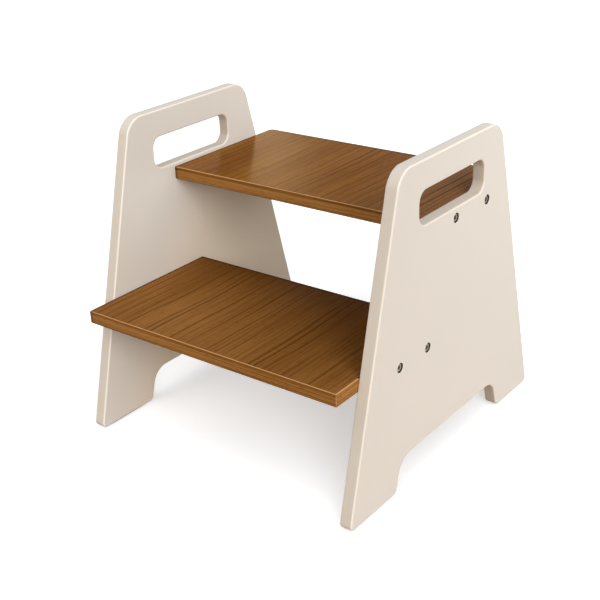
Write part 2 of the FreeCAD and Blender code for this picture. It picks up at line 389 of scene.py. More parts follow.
def finish_piece(piece, node, material):
    """Gives a piece its material, sets it on the root body and hides the solid it stands for."""
    piece.data.materials.clear()
    piece.data.materials.append(material)
    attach(piece, "root")
    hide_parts(node)


def corners_of(piece):
    """A piece's lowest and highest corners."""
    return Vector(piece.bound_box[0]), Vector(piece.bound_box[6])


def centre_of(node):
    """The middle of a solid's box."""
    low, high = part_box(node)
    return (low + high) / 2


def drill(piece, start, end, held, diameter, sides=32):
    """Drills a hole across the stool, from one X to another, in line with the solid it holds."""
    cut_away(piece, add_rod_across("drill", start, end, centre_of(held), diameter, sides))


def arch_ends(sizes):
    """Where the foot arch begins and ends at the floor."""
    return (
        -sizes.foot_depth / 2 + sizes.front_foot_width,
        sizes.foot_depth / 2 - sizes.back_foot_width,
    )


def arch_corner(sizes):
    """The angle between a side of the arch and the level."""
    return math.pi / 2 + math.atan2(sizes.arch_lean, sizes.arch_height)


def arch_cutter(sizes, low, high):
    """The shape that the foot arch takes out of a panel between two corners."""
    front, back = arch_ends(sizes)
    top = low.z + sizes.arch_height
    spare = sizes.overrun
    cutter = add_block(
        "arch_cutter", Vector((low.x - spare, front, low.z)), Vector((high.x + spare, back, top))
    )
    narrowing = (back - front - 2 * sizes.arch_lean) / (back - front)
    with editing(cutter, "FACE", facing(Z, 1)):
        bpy.ops.transform.resize(
            value=(1, narrowing, 1), center_override=(0, (front + back) / 2, 0)
        )
    with editing(cutter, "FACE", facing(Z, -1)):
        bpy.ops.mesh.extrude_region_move(TRANSFORM_OT_translate={"value": (0, 0, -spare)})
    reach = corner_reach(sizes.arch_top_radius, arch_corner(sizes))
    round_edges(
        cutter, lambda edge: runs_along(edge, X) and lies_at(edge, Z, top), reach, segments=14
    )
    return cutter


def slot_cutter(sizes, low, high):
    """The shape that the hand slot takes out of a panel between two corners."""
    top = high.z - sizes.slot_drop
    cutter = add_block(
        "slot_cutter",
        Vector((low.x - sizes.overrun, -sizes.slot_length / 2, top - sizes.slot_height)),
        Vector((high.x + sizes.overrun, sizes.slot_length / 2, top)),
    )
    round_edges(
        cutter, lambda edge: runs_along(edge, X), sizes.slot_corner_radius, segments=14
    )
    return cutter


def is_arris(edge, inner, outer):
    """Whether an edge runs between a broad face of a panel and its rim."""
    turns = [abs(face.normal.x) for face in edge.link_faces]
    at_face = lies_at(edge, X, inner) or lies_at(edge, X, outer)
    return at_face and len(turns) == 2 and min(turns) < 1 - FLAT and max(turns) > FLAT


def drill_panel(panel, sizes, inner, outer):
    """Counterbores, bolt holes and dowel holes, with the mouths of the counterbores eased."""
    outside, inside = outer + sizes.overrun, inner - sizes.overrun
    reach = sizes.counterbore_diameter / 2 + TINY
    for tread in TREADS:
        for place in ENDS:
            bolt = f"{tread}_right_{place}_bolt"
            centre = centre_of(bolt)
            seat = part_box(bolt)[1].x - sizes.head_height
            drill(panel, outside, seat, bolt, sizes.counterbore_diameter, sides=48)
            drill(panel, outside, inside, bolt, sizes.bolt_hole_diameter, sides=48)
            round_edges(
                panel,
                lambda edge: lies_at(edge, X, outer) and from_axis(middle(edge), centre) < reach,
                sizes.hole_easing, segments=3,
            )
        dowel = f"{tread}_right_dowel"
        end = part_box(dowel)[1].x + sizes.hole_spare
        drill(panel, inside, end, dowel, sizes.dowel_hole_diameter, sides=48)


def mark_edges(panel, sizes, low, high):
    """Stores for the paint where a panel's inner face, its routed rim, the painted highlight on its
    arrises and the painted shade on the walls of its cut-outs are."""
    radius = sizes.panel_arris_radius
    slot_middle = high.z - sizes.slot_drop - sizes.slot_height / 2
    slot_reach = (sizes.slot_length / 2 + radius, sizes.slot_height / 2 + radius)
    arch_reach = (arch_ends(sizes)[1] + 2 * radius, low.z + sizes.arch_height + radius)
    slot_highlight = 0.5  # the painted highlight is half as strong on the slots' arrises
    upward_share = 0.5  # upward-facing rim faces take half the edge tone

    def in_slot(face):
        along, above = abs(face.center.y), abs(face.center.z - slot_middle)
        return along < slot_reach[0] and above < slot_reach[1]

    def arris(face, corner):
        """The painted highlight: strongest in the middle of the rounding and nothing at its ends.
        """
        if not 1 - FLAT < abs(face.normal.x) < FLAT:
            return 0
        depth = min(abs(corner.x - low.x), abs(corner.x - high.x))
        turn = math.asin(max(0, 1 - depth / radius))
        return (slot_highlight if in_slot(face) else 1) * math.sin(2 * turn) ** 2

    def routed(face, corner):
        return (upward_share if face.normal.z > UPWARD else 1) * (1 - abs(face.normal.x))

    # Painted shade on the walls of the slots and arches
    def cut_out_shade(face, corner):
        in_arch = abs(face.center.y) < arch_reach[0] and face.center.z < arch_reach[1]
        return (in_slot(face) or in_arch) * (1 - abs(face.normal.x))

    def inward(face, corner):
        return abs(face.normal.x) > FLAT and near(face.center.x, low.x)

    mark_faces(panel, "inner_face", inward)
    mark_faces(panel, "arris", arris)
    mark_faces(panel, "routed_edge", routed)
    mark_faces(panel, "cut_out_shade", cut_out_shade)


def mark_bores(panel, sizes, low, high):
    """Stores where dark bare board shows on a panel: in its bolt holes, partly as painted shade,
    and as a painted contact shadow under its feet.
    """
    reach = sizes.counterbore_diameter / 2 + TINY
    centres = [centre_of(f"{tread}_right_{place}_bolt") for tread in TREADS for place in ENDS]
    head_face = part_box("lower_right_front_bolt")[1].x
    deepest = high.x - head_face + sizes.head_height + TINY
    foot_arris_top = low.z + sizes.panel_arris_radius
    foot_shade = 0.7  # how dark the painted contact shadow under the feet is

    def bare_or_shaded(face, corner):
        if face.center.z < foot_arris_top and face.normal.z < UNDERSIDE:
            return foot_shade
        in_head_hole = sizes.hole_easing < high.x - face.center.x < deepest
        near_bolt = any(from_axis(face.center, centre) < reach for centre in centres)
        return in_head_hole and near_bolt

    mark_faces(panel, "bare_or_shaded", bare_or_shaded)


def model_side_panel(sizes):
    """The right panel, cut, rounded over and drilled."""
    low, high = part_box("right_side_panel")
    inner, outer, bottom, top = low.x, high.x, low.z, high.z
    corner = Vector((outer, sizes.foot_depth / 2, top))
    panel = add_block("right_panel_painted", Vector((inner, -corner.y, bottom)), corner)
    with editing(panel, "FACE", facing(Z, 1)):
        taper = sizes.head_depth / sizes.foot_depth
        bpy.ops.transform.resize(value=(1, taper, 1), center_override=(0, 0, 0))
    lean = math.atan2((sizes.foot_depth - sizes.head_depth) / 2, top - bottom)
    for place, radius, turn, segments in (
        (top, sizes.head_corner_radius, math.pi / 2 + lean, 20),
        (bottom, sizes.foot_corner_radius, math.pi / 2 - lean, 10),
    ):
        round_edges(
            panel, lambda edge: runs_along(edge, X) and lies_at(edge, Z, place),
            corner_reach(radius, turn), segments,
        )
    cut_away(panel, arch_cutter(sizes, low, high), slot_cutter(sizes, low, high))

    def at_arch_foot(edge):
        at_end = any(lies_at(edge, Y, place) for place in arch_ends(sizes))
        return runs_along(edge, X) and lies_at(edge, Z, bottom) and at_end

    reach = corner_reach(sizes.arch_foot_radius, arch_corner(sizes))
    round_edges(panel, at_arch_foot, reach, segments=10)
    arris = sizes.panel_arris_radius
    round_edges(panel, lambda edge: is_arris(edge, inner, outer), arris, segments=4)
    mark_edges(panel, sizes, low, high)
    drill_panel(panel, sizes, inner, outer)
    mark_bores(panel, sizes, low, high)
    return panel


def mirror_across(piece):
    """Turns a right-hand piece into its left-hand twin."""
    with editing(piece, "FACE", lambda face: True):
        bpy.ops.transform.resize(value=(-1, 1, 1), center_override=(0, 0, 0))
        bpy.ops.mesh.normals_make_consistent(inside=False)


class STOOL_OT_side_panels(bpy.types.Operator):
    """Models the two painted side panels with their hand slots, foot arches and bolt holes"""

    bl_idname = "stool.side_panels"
    bl_label = "Side panels"

    def execute(self, context):
        right = model_side_panel(context.scene.stool_sizes)
        left = copy_of(right, "left_panel_painted")
        mirror_across(left)
        paint = cream_paint(context.scene.stool_finishes)
        for side, panel in (("right", right), ("left", left)):
            smooth(panel)
            finish_piece(panel, f"{side}_side_panel", paint)
        return {"FINISHED"}


def whole_tread(tread, sizes):
    """The edged board as one block with its arrises rounded, before it is split and drilled."""
    low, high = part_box(f"{tread}_tread_front_band")
    high = Vector((high.x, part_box(f"{tread}_tread_back_band")[1].y, high.z))
    whole = add_block(f"{tread}_whole_tread", low, high)
    if tread == "upper":
        round_edges(
            whole, lambda edge: runs_along(edge, Z) and lies_at(edge, Y, high.y),
            sizes.upper_corner_radius, segments=10,
        )
    arris = sizes.tread_arris_radius
    round_edges(whole, lambda edge: edge.calc_face_angle() > SHARP, arris, segments=4)
    mark_tread_arrises(whole, sizes)
    return whole


def panel_half_depth(height, sizes):
    """Half the depth of the panels at a height."""
    low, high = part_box("right_side_panel")
    taper = (sizes.foot_depth - sizes.head_depth) * (height - low.z) / (high.z - low.z)
    return (sizes.foot_depth - taper) / 2


def mark_tread_arrises(whole, sizes):
    """Stores where a tread's arrises get a painted highlight, in front and at its free right end,
    and where they get painted shade, at the back, underneath, along the panels and at the left end."""
    low, high = corners_of(whole)
    panel_half = panel_half_depth(high.z, sizes)
    for panel_edge in (-panel_half, panel_half):
        if low.y < panel_edge < high.y:
            split(whole, (0, panel_edge, 0), (0, 1, 0))
    full_tilt = 0.15  # how far from 1 a normal's greatest part is in the middle of an arris
    lower_share, end_share = 0.3, 0.6  # of the full painted highlight, below that and at a tread's end

    def strength(face):
        return min((1 - max(abs(part) for part in face.normal)) / full_tilt, 1)

    def at_panel(face):
        return face.normal.x > LEAN and abs(face.center.y) < panel_half

    # A painted highlight on arrises that face up, forward or to the free right end
    def pale(face, corner):
        turned_away = face.normal.z < -LEAN or face.normal.y > LEAN or face.normal.x < -LEAN
        if turned_away or at_panel(face):
            return 0
        upper_share = 1 - (1 - end_share) * abs(face.normal.x)
        return strength(face) * (lower_share if face.normal.z < UPWARD else upper_share)

    # Painted shade on arrises that face down or back, lie along a panel or turn to the left end
    def dark(face, corner):
        in_shade = at_panel(face) or face.normal.z < -LEAN or face.normal.y > LEAN
        painted_edge_shade = face.normal.x < -LEAN or in_shade and abs(face.normal.z) > LEAN
        return strength(face) if painted_edge_shade else 0

    mark_faces(whole, "arris_highlight", pale)
    mark_faces(whole, "arris_shade", dark)


def mark_band_shade(band, edge, sizes):
    """Stores where painted shade darkens an edge band: on top along the back, the left end and the
    panels, and down the left end of the front."""
    low, high = corners_of(band)
    panel_half = panel_half_depth(high.z, sizes)
    shade_end = low.x + sizes.painted_shade_width
    front_shade = 0.45  # how dark the painted shade at the front's left end is
    if edge == "front":
        split(band, (shade_end, 0, 0), (1, 0, 0))

    def painted_edge_shade(face, corner):
        if edge == "front":
            at_end = face.center.x < shade_end and face.normal.z > UNDERSIDE
            return front_shade if at_end else 0
        by_panel = edge == "right" and abs(face.center.y) < panel_half
        return (by_panel or edge in ("back", "left")) and face.normal.z > 1 - LEAN

    mark_faces(band, "painted_edge_shade", painted_edge_shade)


def joints_of(box, whole_box):
    """Where a piece of a tread meets its neighbours: the axis, the place on it and the way out."""
    return [
        (axis, corner[axis], sign)
        for axis in (X, Y)
        for corner, outside, sign in zip(box, whole_box, (-1, 1))
        if not near(corner[axis], outside[axis])
    ]


def slice_of(whole, name, joints):
    """What a tread holds inside its joints, closed where it was cut."""
    piece = copy_of(whole, name)
    for axis, place, sign in joints:
        way = Vector((0, 0, 0))
        way[axis] = sign
        split(piece, way * sign * place, way, use_fill=True, clear_outer=True)
    return piece


def ease_joints(piece, box, joints, sizes):
    """Sands the edges of a piece where its top or bottom meets its neighbour."""

    def at_joint(edge):
        flush = any(near(middle(edge).z, corner.z) for corner in box)
        return flush and any(lies_at(edge, axis, place) for axis, place, sign in joints)

    round_edges(piece, at_joint, sizes.joint_easing, segments=1)


def drill_board(board, tread, sizes):
    """Bolt, dowel and barrel nut holes in both ends of a tread's board."""
    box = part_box(f"{tread}_tread_board")
    for outer, (side, sign) in enumerate(SIDES.items()):
        outside = box[outer].x + sign * sizes.overrun
        for place in ENDS:
            nut = f"{tread}_{side}_{place}_barrel_nut"
            x, y = centre_of(nut).xy
            under = Vector((x, y, box[0].z - sizes.overrun))
            nut_top = Vector((x, y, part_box(nut)[1].z))
            cut_away(board, add_rod("drill", under, nut_top, sizes.nut_hole_diameter, sides=48))
            bolt = f"{tread}_{side}_{place}_bolt"
            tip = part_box(bolt)[1 - outer].x - sign * sizes.hole_spare
            drill(board, outside, tip, bolt, sizes.bolt_hole_diameter)
        dowel = f"{tread}_{side}_dowel"
        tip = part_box(dowel)[1 - outer].x - sign * sizes.hole_spare
        drill(board, outside, tip, dowel, sizes.dowel_hole_diameter)


def drill_end_band(band, tread, side, sizes):
    """The holes of a tread's end, carried through its edge band."""
    low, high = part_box(f"{tread}_tread_{side}_band")
    start, end = low.x - sizes.overrun, high.x + sizes.overrun
    drill(band, start, end, f"{tread}_{side}_dowel", sizes.dowel_hole_diameter)
    for place in ENDS:
        drill(band, start, end, f"{tread}_{side}_{place}_bolt", sizes.bolt_hole_diameter)


def model_board(whole, tread, sizes):
    """A tread's board, drilled, with its joints eased."""
    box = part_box(f"{tread}_tread_board")
    joints = joints_of(box, corners_of(whole))
    board = slice_of(whole, f"{tread}_board_veneered", joints)
    drill_board(board, tread, sizes)
    ease_joints(board, box, joints, sizes)
    smooth(board)
    return board


def model_band(whole, tread, edge, sizes):
    """One of a tread's edge bands, with its joints eased, its holes and its painted shade."""
    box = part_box(f"{tread}_tread_{edge}_band")
    joints = joints_of(box, corners_of(whole))
    band = slice_of(whole, f"{tread}_{edge}_edging", joints)
    ease_joints(band, box, joints, sizes)
    if edge in SIDES:
        drill_end_band(band, tread, edge, sizes)
    mark_band_shade(band, edge, sizes)
    smooth(band)
    return band


def veneer_drifts(tread, finishes):
    """How the tone of a tread's veneer drifts, as painted shade or sheen: the way it goes, where it
    begins and ends along that way, and the tone it goes to."""
    low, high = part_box(f"{tread}_tread_board")
    # Painted shade darkens the veneer beside the back and left edge bands
    edge_shades = (
        ((0, 1, 0), high.y - 3.5 * MM, high.y + 0.5 * MM, finishes.walnut_painted_shade),
        ((-1, 0, 0), -low.x - 2.5 * MM, -low.x + 0.5 * MM, finishes.walnut_painted_shade),
    )
    if tread == "lower":
        # Painted shadow of the upper tread: it deepens to the back, a little sooner on the right
        return ((0.35, 1, 0), -165 * MM, -10 * MM, finishes.walnut_painted_shadow), *edge_shades
    # Painted sheen: it goes grey towards its back right corner
    return ((1, 0.4, 0), 55 * MM, 150 * MM, finishes.walnut_painted_sheen), *edge_shades


class STOOL_OT_treads(bpy.types.Operator):
    """Models the two walnut treads, each a drilled board inside four edge bands"""

    bl_idname = "stool.treads"
    bl_label = "Treads"

    def execute(self, context):
        sizes = context.scene.stool_sizes
        finishes = context.scene.stool_finishes
        edging_tones = (finishes.edging, finishes.edging_light)
        # The lower tread's veneer is a lighter copy of the walnut, as painted light
        veneers = {
            "lower": ("lit_lower_walnut_veneer", finishes.walnut_lower_lit, finishes.walnut_lower_lit_pale),
            "upper": ("walnut_veneer", finishes.walnut, finishes.walnut_light),
        }
        side_edging = walnut("walnut_side_edging", finishes, edging_tones, "ZYX", EDGING_LINES)
        for tread in TREADS:
            name, *tones = veneers[tread]
            drifts = veneer_drifts(tread, finishes)
            veneer = walnut(name, finishes, tones, "XYZ", VENEER_LINES, drifts)
            # The long bands darken just below their pale arrises
            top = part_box(f"{tread}_tread_board")[1].z
            to_the_top = ((0, 0, 1), top - 5 * MM, top - 2.5 * MM, finishes.walnut)
            name = f"walnut_{tread}_long_edging"
            long_edging = walnut(name, finishes, edging_tones, "ZXY", EDGING_LINES, (to_the_top,))
            whole = whole_tread(tread, sizes)
            board = model_board(whole, tread, sizes)
            finish_piece(board, f"{tread}_tread_board", veneer)
            for edge in (*ENDS, *SIDES):
                band = model_band(whole, tread, edge, sizes)
                material = side_edging if edge in SIDES else long_edging
                finish_piece(band, f"{tread}_tread_{edge}_band", material)
            bpy.data.objects.remove(whole)
        return {"FINISHED"}


def model_bolt(sizes, node):
    """A socket-head bolt with its head towards +X."""
    tip, face = (corner.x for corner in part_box(node))
    centre = centre_of(node)
    neck = face - sizes.head_height
    bolt = add_rod_across("bolt", neck, face, centre, sizes.head_diameter, sides=64)
    round_edges(bolt, lambda edge: lies_at(edge, X, face), sizes.head_easing, segments=4)
    with editing(bolt, "FACE", facing(X, -1)):
        bpy.ops.mesh.inset(thickness=(sizes.head_diameter - sizes.shank_diameter) / 2)
        bpy.ops.mesh.extrude_region_move(TRANSFORM_OT_translate={"value": (tip - neck, 0, 0)})
    round_edges(bolt, lambda edge: lies_at(edge, X, tip), sizes.shank_end_easing, segments=1)
    key = sizes.hex_width / math.cos(math.pi / 6)
    start, end = face + sizes.overrun, face - sizes.hex_depth
    cut_away(bolt, add_rod_across("hex_socket", start, end, centre, key, sides=6))

    def on_socket_mouth(edge):
        inside = lies_at(edge, X, face) and from_axis(middle(edge), centre) < key / 2
        by_wall = any(abs(part.normal.x) < LEAN for part in edge.link_faces)
        return inside and len(edge.link_faces) == 2 and by_wall

    round_edges(bolt, on_socket_mouth, sizes.hex_easing, segments=2)
    # Painted shade down the sides of the head, where it sits in its counterbore
    flat_radius = sizes.head_diameter / 2 - sizes.head_easing
    mark_faces(
        bolt, "in_shade", lambda part, corner: from_axis(part.center, centre) > flat_radius
    )
    return bolt


class STOOL_OT_bolts(bpy.types.Operator):
    """Models a socket-head bolt and sets a copy in each joint, and finishes the nuts and dowels"""

    bl_idname = "stool.bolts"
    bl_label = "Bolts, nuts and dowels"

    def execute(self, context):
        plate = zinc_plate(context.scene.stool_finishes)
        wood = beech_wood(context.scene.stool_finishes)
        first = "lower_right_front_bolt"
        pattern = model_bolt(context.scene.stool_sizes, first)
        smooth(pattern, 30)
        from_first = Matrix.Translation(-centre_of(first))
        for tread in TREADS:
            for side, sign in SIDES.items():
                turn = Matrix.Rotation(math.pi if sign < 0 else 0, 4, "Z")
                for place in ENDS:
                    joint = f"{tread}_{side}_{place}"
                    bolt = copy_of(pattern, f"{joint}_socket_bolt")
                    to_joint = Matrix.Translation(centre_of(f"{joint}_bolt"))
                    bolt.data.transform(to_joint @ turn @ from_first)
                    finish_piece(bolt, f"{joint}_bolt", plate)
                    dress_solid(f"{joint}_barrel_nut", plate)
                dress_solid(f"{tread}_{side}_dowel", wood)
        bpy.data.objects.remove(pattern)
        return {"FINISHED"}


def dress_solid(node, material):
    """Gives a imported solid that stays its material."""
    solid = frame["nodes"][node]
    solid.data.materials.clear()
    solid.data.materials.append(material)


class STOOL_OT_foot_pads(bpy.types.Operator):
    """Models the rubber pad under each foot"""

    bl_idname = "stool.foot_pads"
    bl_label = "Foot pads"

    def execute(self, context):
        easing = context.scene.stool_sizes.pad_easing
        rubber = soft_rubber(context.scene.stool_finishes)
        for side in SIDES:
            for foot in ENDS:
                node = f"{side}_{foot}_foot_pad"
                low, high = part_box(node)
                pad = add_block(f"{side}_{foot}_rubber_pad", low, high)
                half = (high.x - low.x) / 2 - TINY
                round_edges(pad, lambda edge: runs_along(edge, Z), half, segments=12)
                round_edges(pad, lambda edge: lies_at(edge, Z, low.z), easing, segments=3)
                smooth(pad)
                finish_piece(pad, node, rubber)
        return {"FINISHED"}


# Materials


def add_node(tree, kind, inputs=None, **settings):
    """Adds a node with its settings, its input values and the links that feed it. A node among the
    inputs gives its first output that is in use."""
    node = tree.nodes.new(kind)
    for name, value in settings.items():
        setattr(node, name, value)
    for socket, value in (inputs or {}).items():
        if isinstance(value, bpy.types.Node):
            value = next(output for output in value.outputs if output.enabled)
        if isinstance(value, bpy.types.NodeSocket):
            tree.links.new(value, node.inputs[socket])
        else:
            node.inputs[socket].default_value = value
    return node


def empty_tree(owner):
    """Clears the nodes of a material or world, and gives what adds nodes to it."""
    owner.use_nodes = True
    owner.node_tree.nodes.clear()
    return partial(add_node, owner.node_tree)


def new_material(name):
    """A material, and what adds nodes to it."""
    material = bpy.data.materials.new(name)
    return material, empty_tree(material)


def coats(add, under, *layers):
    """Lays colours over a colour, each as strong as its amount."""
    for amount, over in layers:
        # Sockets 6 and 7 are the two colours
        under = add("ShaderNodeMix", {0: amount, 6: under, 7: (*over, 1)}, data_type="RGBA")
    return under


def shaded(add, tone, pattern, shares, spread=(0, 1)):
    """A colour times a share of itself that follows a pattern, whose values lie in the spread."""
    share = add("ShaderNodeMapRange", {
        "Value": pattern, "From Min": spread[0], "From Max": spread[1],
        "To Min": shares[0], "To Max": shares[1],
    })
    return add("ShaderNodeVectorMath", {0: tone, "Scale": share}, operation="SCALE")


def per_metre(*sizes):
    """Pattern scales from sizes in millimetres."""
    return tuple(1 / (size * MM) for size in sizes)


def stretched_noise(add, place, sizes, inputs, **settings):
    """Noise whose patches have these sizes in millimetres, across, along and through the grain."""
    scaled = add("ShaderNodeVectorMath", {0: place, 1: per_metre(*sizes)}, operation="MULTIPLY")
    return add("ShaderNodeTexNoise", {"Vector": scaled, "Scale": 1.0, **inputs}, **settings)


def cream_paint(finishes):
    """Satin acrylic paint, sprayed on fibre board: smooth on the faces, a little dull where it sank
    into the routed edges, with a painted highlight along the arrises, painted warm shade on the
    inner faces below the upper tread, painted shade in the slots and arches, and bare board
    darkened as painted shade in the bolt holes and under the feet."""
    material, add = new_material("satin_cream_paint")
    place = add("ShaderNodeTexCoord").outputs["Object"]
    arris, routed, cut_out_shade, bare_or_shaded, inner = (
        add("ShaderNodeAttribute", attribute_name=mark).outputs["Fac"]
        for mark in ("arris", "routed_edge", "cut_out_shade", "bare_or_shaded", "inner_face")
    )
    # Painted warm shade: it grows over 110 mm back from the front edge, which leans, and down past
    # the tread
    low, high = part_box("upper_tread_board")
    height = add("ShaderNodeSeparateXYZ", {0: place}).outputs["Z"]
    warm_shaded = add(
        "ShaderNodeMapRange", {"Value": height, "From Min": high.z, "From Max": low.z - 35 * MM}
    )
    depth = add("ShaderNodeVectorMath", {0: place, 1: (0, 1, -0.6)}, operation="DOT_PRODUCT")
    shade_ramp = add(
        "ShaderNodeMapRange", {"Value": depth, "From Min": -205 * MM, "From Max": -95 * MM},
        interpolation_type="SMOOTHSTEP",
    )
    for share in (shade_ramp, inner):
        warm_shaded = add("ShaderNodeMath", {0: warm_shaded, 1: share}, operation="MULTIPLY")
    # Clouds about 110 mm across in the paint, and sweeps of 22 mm in the painted highlight of the
    # arrises
    cloud = add(
        "ShaderNodeTexNoise", {"Vector": place, "Scale": 1 / (111 * MM), "Detail": 2.0}
    )
    sweep = add(
        "ShaderNodeTexNoise",
        {"Vector": place, "Scale": 1 / (22.2 * MM), "Detail": 2.0, "Roughness": 0.6},
    )
    # The painted highlight along the arrises, broken up by the sweeps
    highlight_breakup = add("ShaderNodeMapRange", {"Value": sweep, "To Min": 0.7, "To Max": 1.0})
    pale = add("ShaderNodeMath", {0: arris, 1: highlight_breakup}, operation="MULTIPLY")
    faces = coats(
        add, (*finishes.paint, 1), (routed, finishes.paint_edge),
        (warm_shaded, finishes.paint_shade_tint), (cut_out_shade, finishes.paint_cut_out_shade),
    )
    clouded = shaded(add, faces, cloud, (0.975, 1.02))
    painted = coats(add, clouded, (pale, finishes.paint_arris_highlight), (bare_or_shaded, finishes.bare_board_and_shade))
    roughness = add("ShaderNodeMapRange", {"Value": cloud, "To Min": 0.42, "To Max": 0.5})
    # The spray's skin has ripples about 1.5 mm apart
    ripple = add(
        "ShaderNodeTexNoise", {"Vector": place, "Scale": 1 / (1.5 * MM), "Detail": 1.0}
    )
    bump = add("ShaderNodeBump", {"Height": ripple, "Strength": 0.05, "Distance": 0.1 * MM})
    shader = add("ShaderNodeBsdfPrincipled", {
        "Base Color": painted, "Roughness": roughness, "Specular IOR Level": 0.4, "Normal": bump,
    })
    add("ShaderNodeOutputMaterial", {"Surface": shader})
    return material


def dark_lines(add, grain, spacing, run, width, strength, seed):
    """Late-wood lines along the grain: their mean spacing, how far they run and their width, in
    millimetres.

    Neighbouring lines sway together. Each has a place, a strength and a width of its own, and fades
    in and out along its run. What it gives is from 0 to strength."""
    drawn = {"Detail": 1.0, "Roughness": 0.4}
    sway = stretched_noise(
        add, grain, (9 * spacing, 1.1 * run, 9 * spacing), {"W": seed, **drawn},
        noise_dimensions="4D",
    )
    faint = stretched_noise(
        add, grain, (2 * spacing, run, 2 * spacing), {"W": seed + 5, **drawn},
        noise_dimensions="4D",
    )
    # The lines lean a little along and through the wood, and sway by up to 2.2 spacings
    straight = add(
        "ShaderNodeVectorMath", {0: grain, 1: per_metre(spacing, 40 * run, 2 * spacing)},
        operation="DOT_PRODUCT",
    )
    ring = add("ShaderNodeMath", {0: sway, 1: 2.2, 2: straight}, operation="MULTIPLY_ADD")
    # A ring's whole part gives its line a place and strength, and its fraction the way to the line
    number = add("ShaderNodeMath", {0: ring}, operation="FLOOR")
    number = add("ShaderNodeMath", {0: number, 1: seed}, operation="ADD")
    own = add("ShaderNodeTexWhiteNoise", {"W": number}, noise_dimensions="1D")
    green = add("ShaderNodeSeparateColor", {0: own.outputs["Color"]}).outputs["Green"]
    eased = {"interpolation_type": "SMOOTHSTEP"}
    spot = add("ShaderNodeMapRange", {"Value": own, "To Min": 0.3, "To Max": 0.7}, **eased)
    away = ring
    for operation, other in (("FRACT", 0), ("SUBTRACT", spot), ("ABSOLUTE", 0)):
        away = add("ShaderNodeMath", {0: away, 1: other}, operation=operation)
    half_width = width / spacing / 2
    line = add("ShaderNodeMapRange", {
        "Value": away, "From Min": 0.25 * half_width, "From Max": 1.5 * half_width,
        "To Min": 1, "To Max": 0,
    }, **eased)
    for sizes in (
        {"Value": faint, "From Min": 0.3, "From Max": 0.5},
        {"Value": green, "To Min": 0.3 * strength, "To Max": strength},
    ):
        share = add("ShaderNodeMapRange", sizes, **eased)
        line = add("ShaderNodeMath", {0: line, 1: share}, operation="MULTIPLY")
    return line


def walnut(name, finishes, tones, axes, line_spacing, drifts=()):
    """Walnut under satin lacquer: soft bands of two tones, dark wavy year lines, finer lines
    between them, fibres and short dark pores, all along the grain, with a painted highlight on the
    front arrises and painted shade on the arrises and edge bands underneath, at the back, along the
    panels and at the left end. The axes are the ones across, along and through the grain. Each
    drift is a change of tone across the wood, some of them painted shade or sheen: which way it
    goes, where it begins and ends along that way, in metres, and the tone it goes to."""
    material, add = new_material(name)
    place = add("ShaderNodeTexCoord").outputs["Object"]
    parts = add("ShaderNodeSeparateXYZ", {0: place}).outputs
    grain = add(
        "ShaderNodeCombineXYZ", {number: parts[axis] for number, axis in enumerate(axes)}
    )
    bands = stretched_noise(add, grain, (4 * line_spacing, 300, 4 * line_spacing), {"Detail": 1.0})
    band = add("ShaderNodeMapRange", {"Value": bands, "From Min": 0.35, "From Max": 0.65})
    fibre = stretched_noise(add, grain, (1.1, 34, 2), {"Detail": 2.0, "Roughness": 0.6})
    fibre_spread = (0.3, 0.7)
    layers = [(band, tones[1])]
    for way, begins, ends, tone in drifts:
        along = add("ShaderNodeVectorMath", {0: place, 1: way}, operation="DOT_PRODUCT")
        gone = add(
            "ShaderNodeMapRange",
            {"Value": along, "From Min": begins, "From Max": ends, "To Max": 0.8},
        )
        layers.append((gone, tone))
    # Strong lines, and finer and fainter ones between them
    for lines in (
        dark_lines(add, grain, line_spacing, 180, 0.26 * line_spacing, 0.66, seed=3),
        dark_lines(add, grain, 0.45 * line_spacing, 110, 0.18 * line_spacing, 0.42, seed=11),
    ):
        layers.append((lines, finishes.walnut_dark))
    lined = coats(add, (*tones[0], 1), *layers)
    fibrous = shaded(add, lined, fibre, (0.93, 1.07), fibre_spread)
    pitted = stretched_noise(add, grain, (0.8, 9, 1), {"Detail": 0.0})
    pores = add(
        "ShaderNodeMapRange",
        {"Value": pitted, "From Min": 0.64, "From Max": 0.74, "To Max": 0.3},
    )
    layers = [(pores, finishes.walnut_dark)]
    # Over the pores: a painted highlight and painted shade on the arrises and edge bands
    for mark, tone in (
        ("arris_highlight", finishes.walnut_arris_highlight),
        ("arris_shade", finishes.walnut_painted_shade),
        ("painted_edge_shade", finishes.walnut_painted_shade),
    ):
        layers.append((add("ShaderNodeAttribute", attribute_name=mark).outputs["Fac"], tone))
    roughness = add("ShaderNodeMapRange", {
        "Value": fibre, "From Min": fibre_spread[0], "From Max": fibre_spread[1],
        "To Min": 0.24, "To Max": 0.31,
    })
    bump = add("ShaderNodeBump", {"Height": fibre, "Strength": 0.08, "Distance": 0.1 * MM})
    shader = add("ShaderNodeBsdfPrincipled", {
        "Base Color": coats(add, fibrous, *layers), "Roughness": roughness,
        "Specular IOR Level": 0.005, "Normal": bump,
    })
    add("ShaderNodeOutputMaterial", {"Surface": shader})
    return material


